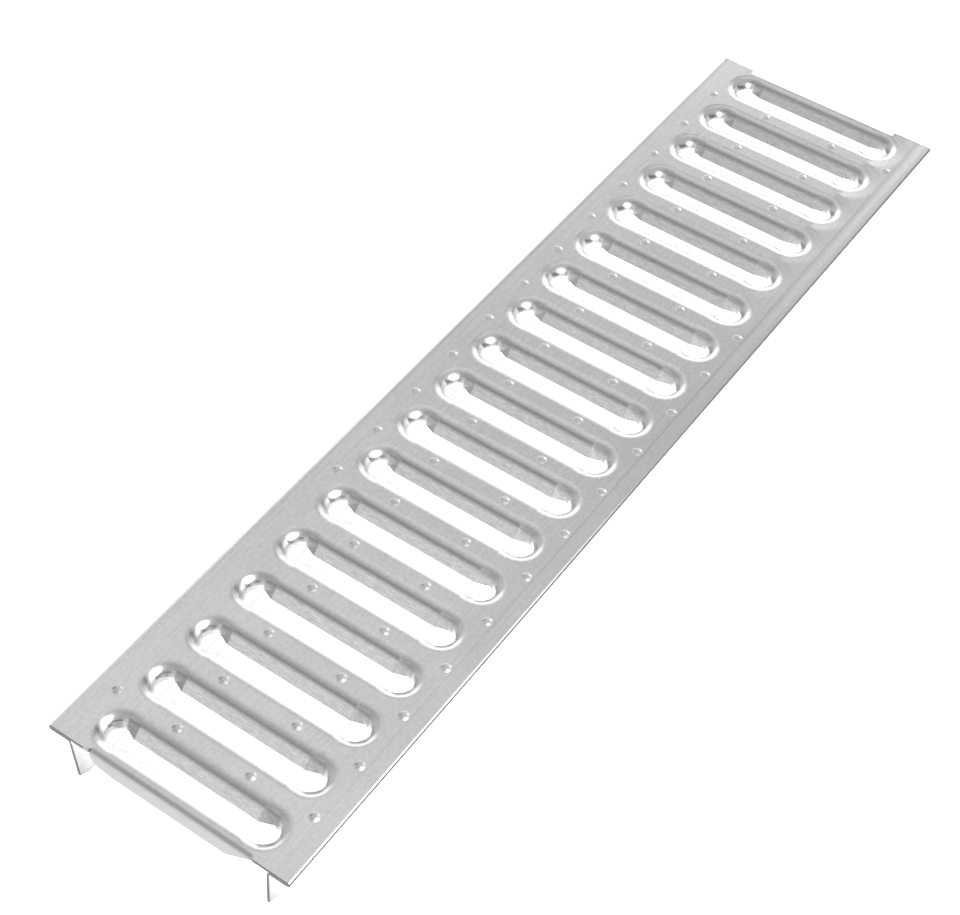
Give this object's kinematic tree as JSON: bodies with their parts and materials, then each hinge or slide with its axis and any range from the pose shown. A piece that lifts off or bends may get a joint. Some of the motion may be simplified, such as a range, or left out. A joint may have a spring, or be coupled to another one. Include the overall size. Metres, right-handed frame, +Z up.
{
  "type": "channel drain grate",
  "caption": "Long pressed-steel cover for a drainage channel, with cross slots, folded long edges, a leg down each side and turned-down ends.",
  "frame": {"origin": "middle of the grate's bounding box, at the level of the leg edges it stands on", "axes": "+Y along the length of the channel, +X across it, +Z up through the walked-on face"},
  "size_m": [0.118, 0.5, 0.0275],
  "materials": {
    "galvanised_sheet": "satin galvanised"
  },
  "bodies": {
    "root": {"grate": "galvanised_sheet"}
  },
  "joints": []
}
